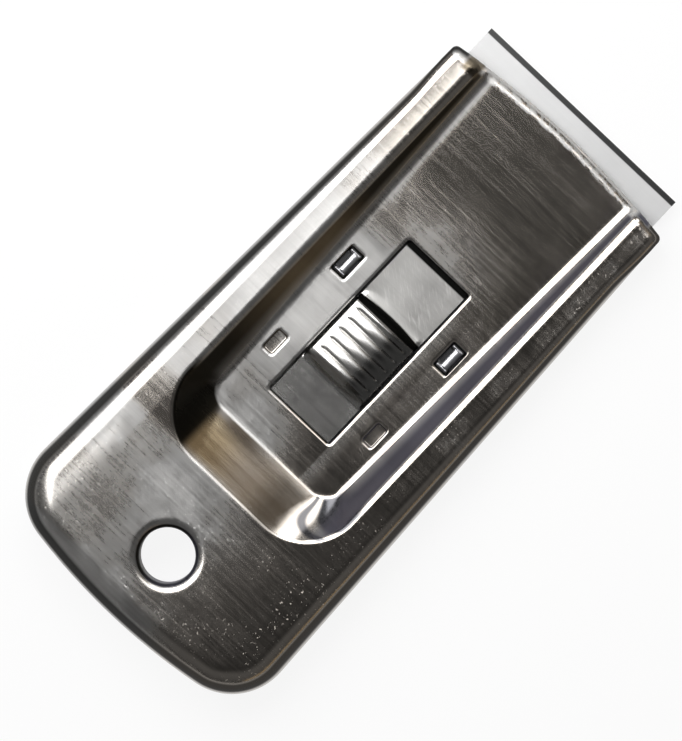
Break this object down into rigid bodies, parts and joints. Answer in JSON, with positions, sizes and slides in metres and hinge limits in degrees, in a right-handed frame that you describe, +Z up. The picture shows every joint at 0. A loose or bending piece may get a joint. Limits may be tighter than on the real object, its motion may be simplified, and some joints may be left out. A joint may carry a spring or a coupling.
{
  "type": "paint scraper",
  "caption": "Hand paint scraper: tapered pressed-steel body with a recessed panel, ribbed thumb slide, retractable single-edge blade and hanging hole.",
  "frame": {"origin": "on the surface that the back lies on, under the middle of the overall length and width with the blade in the working position", "axes": "+X points to the cutting edge, +Z up out of the panel, +Y to the left of someone who looks along the blade"},
  "size_m": [0.106, 0.0502, 0.0107],
  "materials": {
    "body_steel": "brushed across, with light scuffs",
    "plate_steel": "rolled",
    "carrier_steel": "rolled",
    "spring_steel": "bright rolled",
    "slide_steel": "bright, with diagonal scuffs",
    "rivet_steel": "plain",
    "blade_steel": "fine ground",
    "spine_steel": "plain"
  },
  "bodies": {
    "handle": {"body_shell": "body_steel", "back_plate": "plate_steel"},
    "carriage": {"blade_carrier": "carrier_steel", "detent_spring": "spring_steel", "thumb_slide": "slide_steel", "slide_rivets": "rivet_steel", "blade": "blade_steel", "blade_spine": "spine_steel"}
  },
  "joints": [
    {"name": "blade_slide", "type": "slide", "parent": "handle", "child": "carriage", "axis": [1, 0, 0], "range_m": [-0.0072, 0.0108], "deforming": ["detent_spring"]}
  ]
}
